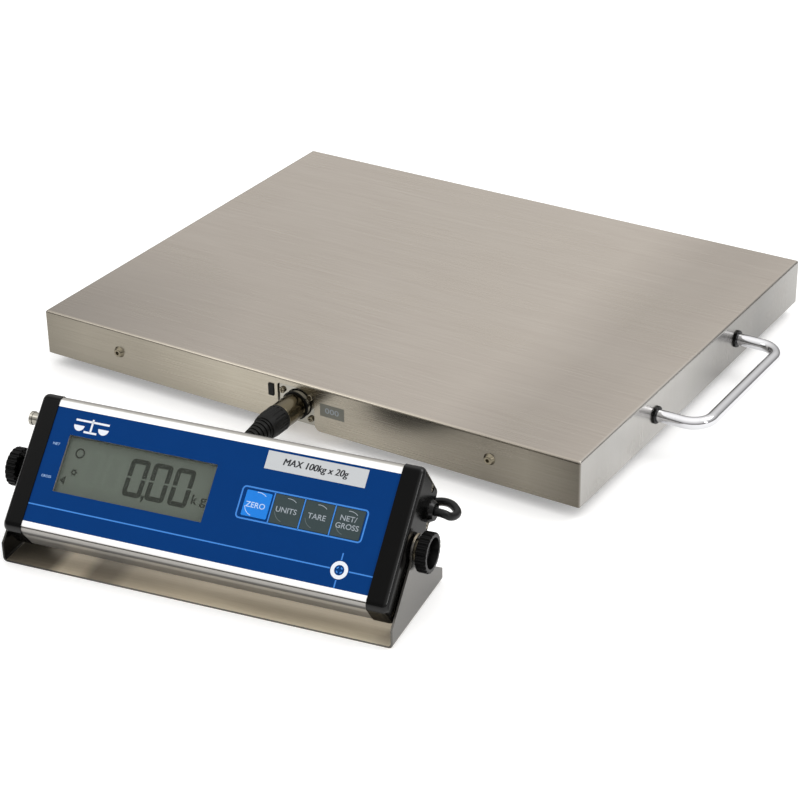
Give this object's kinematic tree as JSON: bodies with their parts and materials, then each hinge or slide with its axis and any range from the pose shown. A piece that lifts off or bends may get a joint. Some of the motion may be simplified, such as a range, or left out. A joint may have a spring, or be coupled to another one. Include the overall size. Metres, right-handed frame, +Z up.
{
  "type": "bench scale",
  "caption": "Low stainless weighing platform with a carrying handle, joined by a cable to a tilting indicator with a display and keys in its own bracket.",
  "frame": {"origin": "on the surface it stands on, at the bottom centre of the box around everything but the cable", "axes": "+Z up, +X right as the reader of the display sees the platform, +Y from the indicator back across the platform"},
  "size_m": [0.5448, 0.6606, 0.1025],
  "materials": {
    "platform_steel": "fine brushed stainless steel with a soft mirror sheen",
    "bracket_steel": "bright cold-rolled stainless sheet",
    "frame_steel": "grey powder coat",
    "load_cell_aluminium": "clear anodised",
    "screw_steel": "bright zinc or stainless screws",
    "handle_chrome": "polished chrome plate",
    "black_plastic": "satin moulded black",
    "knob_plastic": "satin moulded black with fine texture",
    "black_rubber": "matt black",
    "foot_rubber": "matt black pad on a steel stud",
    "cable_rubber": "smooth satin black jacket",
    "plug_nickel": "nickel plate",
    "extrusion_aluminium": "bright anodised",
    "overlay_blue": "printed polyester film",
    "lcd_glass": "clear acrylic",
    "display_plastic": "reflective grey-green liquid crystal",
    "zero_key_plastic": "light blue film",
    "key_plastic": "dark grey film",
    "board_plastic": "solder-masked board",
    "battery_wrap": "shrink wrap",
    "insert_brass": "turned",
    "socket_metal": "nickel plate with a black insert"
  },
  "bodies": {
    "base": {"base_rail_left": "frame_steel", "base_rail_right": "frame_steel", "base_rail_front": "frame_steel", "base_rail_rear": "frame_steel", "base_beam": "frame_steel", "connector_bracket": "bracket_steel", "overload_stops": "frame_steel", "foot_lock_nuts": "screw_steel", "load_cell": "load_cell_aluminium", "lower_spacer": "frame_steel", "load_cell_screws": "screw_steel", "load_cell_wire": "cable_rubber", "cable_socket": "socket_metal", "socket_screws": "screw_steel", "socket_insert": "black_plastic", "bracket": "bracket_steel", "ear_washers": "screw_steel", "cable_lead": "cable_rubber", "cable_coil": "cable_rubber", "cable_tail": "cable_rubber", "plug_shell": "plug_nickel", "plug_collar": "black_rubber", "plug_boot": "black_rubber"},
    "tray": {"tray": "platform_steel", "access_plug": "black_rubber", "tray_screws": "screw_steel", "upper_rail_left": "frame_steel", "upper_rail_right": "frame_steel", "upper_cross_plate": "frame_steel", "upper_spacer": "frame_steel", "upper_screws": "screw_steel", "handle_bar": "handle_chrome", "handle_rings": "black_plastic", "handle_bolts": "screw_steel"},
    "indicator": {"housing": "extrusion_aluminium", "left_cap": "black_plastic", "right_cap": "black_plastic", "cap_screws": "screw_steel", "front_overlay": "overlay_blue", "lcd_window": "lcd_glass", "display_module": "display_plastic", "main_board": "board_plastic", "battery_pack": "battery_wrap", "charger_socket": "socket_metal", "cable_gland": "black_plastic", "pivot_inserts": "insert_brass", "friction_washers": "black_plastic"},
    "left_knob": {"left_knob": "knob_plastic", "left_knob_stud": "screw_steel"},
    "right_knob": {"right_knob": "knob_plastic", "right_knob_stud": "screw_steel"},
    "zero_key": {"zero_key": "zero_key_plastic"},
    "units_key": {"units_key": "key_plastic"},
    "tare_key": {"tare_key": "key_plastic"},
    "net_key": {"net_key": "key_plastic"},
    "foot_front_left": {"foot_front_left": "foot_rubber"},
    "foot_front_right": {"foot_front_right": "foot_rubber"},
    "foot_rear_left": {"foot_rear_left": "foot_rubber"},
    "foot_rear_right": {"foot_rear_right": "foot_rubber"}
  },
  "joints": [
    {"name": "tray_load", "type": "slide", "parent": "base", "child": "tray", "axis": [0, 0, 1], "range_m": [-0.0009, 0], "stiffness_N_per_m": 80000, "springref_m": 0.001, "deforming": ["load_cell"]},
    {"name": "indicator_tilt", "type": "hinge", "parent": "base", "child": "indicator", "pos_m": [-0.11136, -0.28184, 0.051], "axis": [0.9875, 0.1576, 0], "range_deg": [-40, 18], "deforming": ["cable_lead"]},
    {"name": "zero_press", "type": "slide", "parent": "indicator", "child": "zero_key", "axis": [-0.1115, 0.6983, -0.7071], "range_m": [0, 0.0005], "stiffness_N_per_m": 600, "springref_m": -0.0005},
    {"name": "units_press", "type": "slide", "parent": "indicator", "child": "units_key", "axis": [-0.1115, 0.6983, -0.7071], "range_m": [0, 0.0005], "stiffness_N_per_m": 600, "springref_m": -0.0005},
    {"name": "tare_press", "type": "slide", "parent": "indicator", "child": "tare_key", "axis": [-0.1115, 0.6983, -0.7071], "range_m": [0, 0.0005], "stiffness_N_per_m": 600, "springref_m": -0.0005},
    {"name": "net_press", "type": "slide", "parent": "indicator", "child": "net_key", "axis": [-0.1115, 0.6983, -0.7071], "range_m": [0, 0.0005], "stiffness_N_per_m": 600, "springref_m": -0.0005},
    {"name": "left_knob_turn", "type": "hinge", "parent": "indicator", "child": "left_knob", "pos_m": [-0.11136, -0.28184, 0.051], "axis": [0.9875, 0.1576, 0], "continuous": true},
    {"name": "right_knob_turn", "type": "hinge", "parent": "indicator", "child": "right_knob", "pos_m": [-0.11136, -0.28184, 0.051], "axis": [0.9875, 0.1576, 0], "continuous": true},
    {"name": "foot_turn_front_left", "type": "hinge", "parent": "base", "child": "foot_front_left", "pos_m": [-0.23485, -0.01115, 0.01], "axis": [0, 0, 1], "continuous": true},
    {"name": "foot_turn_front_right", "type": "hinge", "parent": "base", "child": "foot_front_right", "pos_m": [0.19015, -0.01115, 0.01], "axis": [0, 0, 1], "continuous": true},
    {"name": "foot_turn_rear_left", "type": "hinge", "parent": "base", "child": "foot_rear_left", "pos_m": [-0.23485, 0.26885, 0.01], "axis": [0, 0, 1], "continuous": true},
    {"name": "foot_turn_rear_right", "type": "hinge", "parent": "base", "child": "foot_rear_right", "pos_m": [0.19015, 0.26885, 0.01], "axis": [0, 0, 1], "continuous": true}
  ]
}
